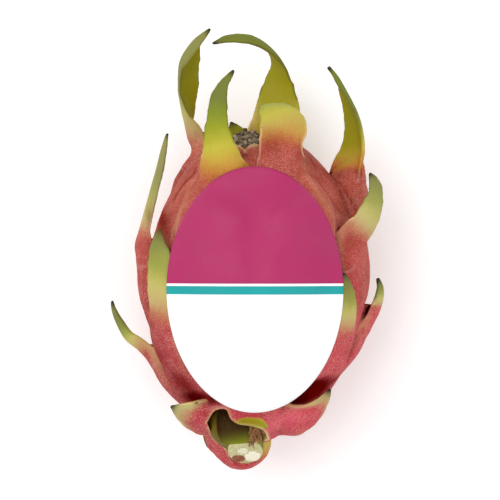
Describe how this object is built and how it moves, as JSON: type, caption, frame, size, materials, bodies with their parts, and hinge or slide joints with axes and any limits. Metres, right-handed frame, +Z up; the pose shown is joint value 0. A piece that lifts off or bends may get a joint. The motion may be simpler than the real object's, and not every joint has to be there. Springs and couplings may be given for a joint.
{
  "type": "dragon fruit",
  "caption": "Whole red-skinned dragon fruit with curling leafy scales, a cut stem stub, the dried flower and a plain oval sticker, lying on its side.",
  "frame": {"origin": "centre of the flat spot that the fruit lies on", "axes": "+Y along the fruit towards its flower end, +X to the right seen from above, +Z up"},
  "size_m": [0.1042, 0.1677, 0.079],
  "materials": {
    "fruit_skin": "waxy satin skin, red to pink, the scales turning yellow and green towards their tips",
    "stem": "green stem skin with a pale cut face",
    "dried_flower": "dry and rough, grey-brown",
    "label_film": "semi-gloss printed film, magenta above and white below, with no text"
  },
  "bodies": {
    "root": {"fruit": "fruit_skin", "stem_stub": "stem", "flower_remnant": "dried_flower", "label": "label_film"}
  },
  "joints": []
}
